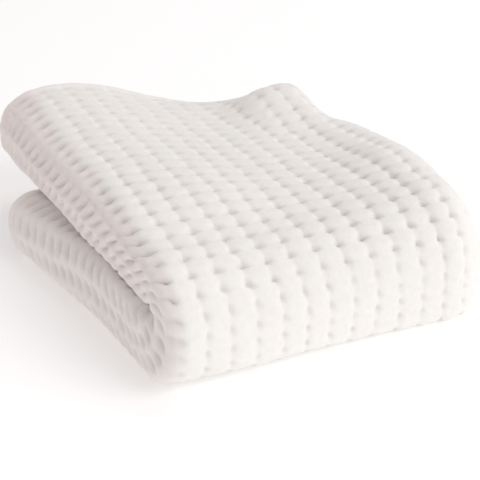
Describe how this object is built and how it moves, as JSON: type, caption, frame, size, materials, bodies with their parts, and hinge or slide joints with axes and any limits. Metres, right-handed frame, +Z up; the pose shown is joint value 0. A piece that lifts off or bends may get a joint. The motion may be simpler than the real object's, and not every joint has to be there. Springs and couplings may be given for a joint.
{
  "type": "shaving towel",
  "caption": "Small cotton towel in a honeycomb weave, folded into a soft square stack that lies flat.",
  "frame": {"origin": "centre of the bounding box at the surface the towel lies on", "axes": "+Z up, X along the front fold, +Y from the front fold to the open back edges"},
  "size_m": [0.1421, 0.1637, 0.0489],
  "materials": {
    "towel": "matt undyed white cotton in a honeycomb weave"
  },
  "bodies": {
    "root": {"towel": "towel"}
  },
  "joints": []
}
